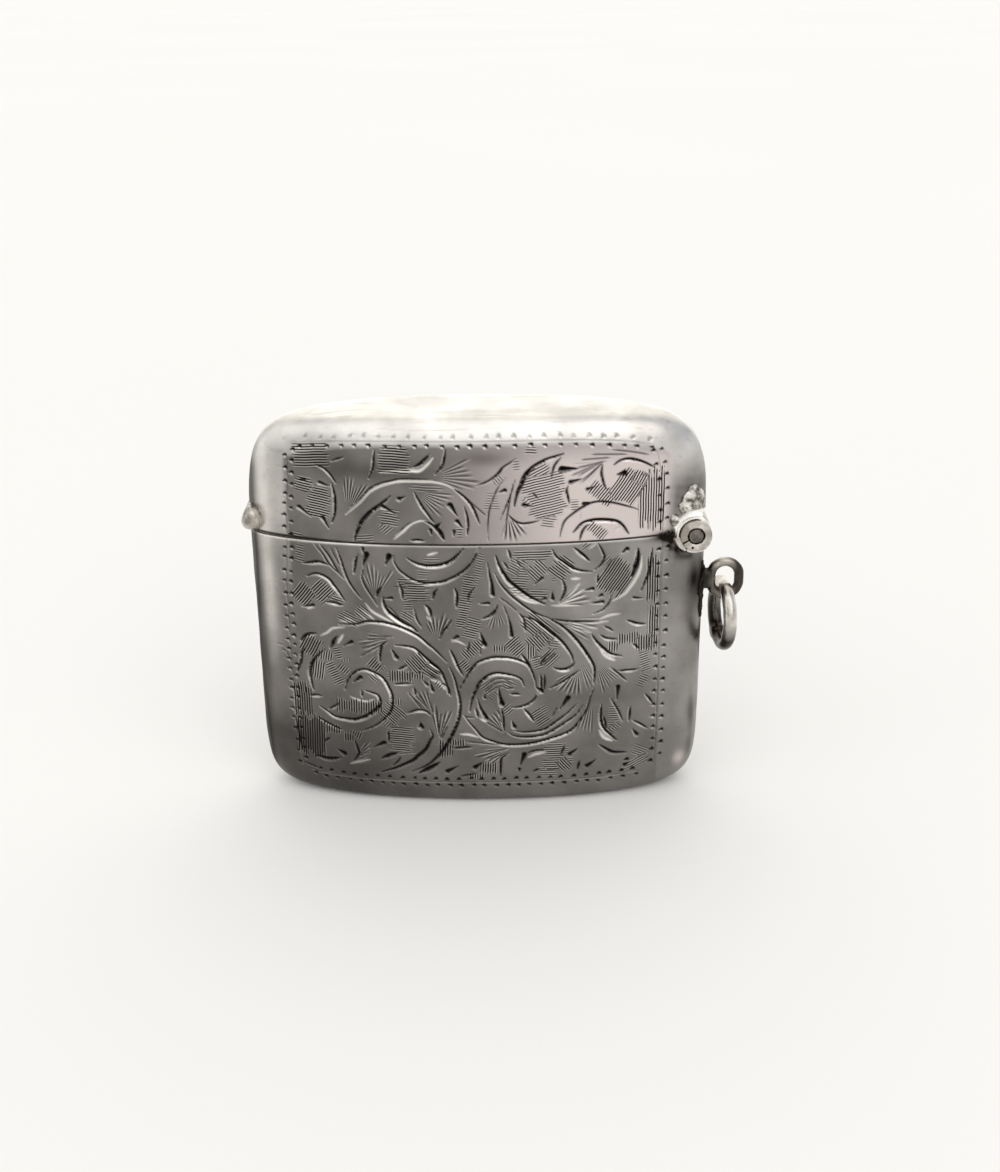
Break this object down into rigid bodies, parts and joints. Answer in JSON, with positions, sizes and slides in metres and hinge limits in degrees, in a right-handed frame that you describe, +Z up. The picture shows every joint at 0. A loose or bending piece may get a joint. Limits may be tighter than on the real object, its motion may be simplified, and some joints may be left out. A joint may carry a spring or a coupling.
{
  "type": "vesta case",
  "caption": "Pillow-shaped pocket match case of sheet silver with a lid on a barrel hinge, a thumb piece, a serrated striker under the base and a hanging ring on a loop.",
  "frame": {"origin": "centre of the flat base that the closed case stands on", "axes": "+Z up to the lid, +X to the hinge end, -Y is the front face"},
  "size_m": [0.0498, 0.012, 0.0408],
  "materials": {
    "silver": "engraved sterling silver, polished and worn, with dark toning in the cuts",
    "inner_silver": "sterling silver, dull from the polishing mop and lightly toned",
    "striker_silver": "serrated sterling silver, matt and toned between the ribs",
    "hinge_silver": "soldered sterling silver tube, worn and toned in the corners",
    "wire_silver": "drawn sterling silver wire, worn bright",
    "pin_steel": "filed metal pin end, dull grey"
  },
  "bodies": {
    "case": {"body_front": "silver", "body_back": "silver", "striker_plate": "striker_silver", "mouth_bezel": "inner_silver", "hinge_trough": "hinge_silver", "knuckle_front": "hinge_silver", "knuckle_rear": "hinge_silver", "hinge_pin": "pin_steel", "chain_loop": "wire_silver"},
    "lid": {"lid_front": "silver", "lid_back": "silver", "hinge_hood": "hinge_silver", "knuckle_lid": "hinge_silver", "thumb_piece": "hinge_silver"},
    "ring": {"chain_ring": "wire_silver"}
  },
  "joints": [
    {"name": "lid_hinge", "type": "hinge", "parent": "case", "child": "lid", "pos_m": [0.0212, 0, 0.0284], "axis": [0, 1, 0], "range_deg": [0, 95]},
    {"name": "ring_swing", "type": "hinge", "parent": "case", "child": "ring", "pos_m": [0.0247, 0, 0.02193], "axis": [0.1392, -0.9903, 0], "range_deg": [-12, 110]}
  ]
}
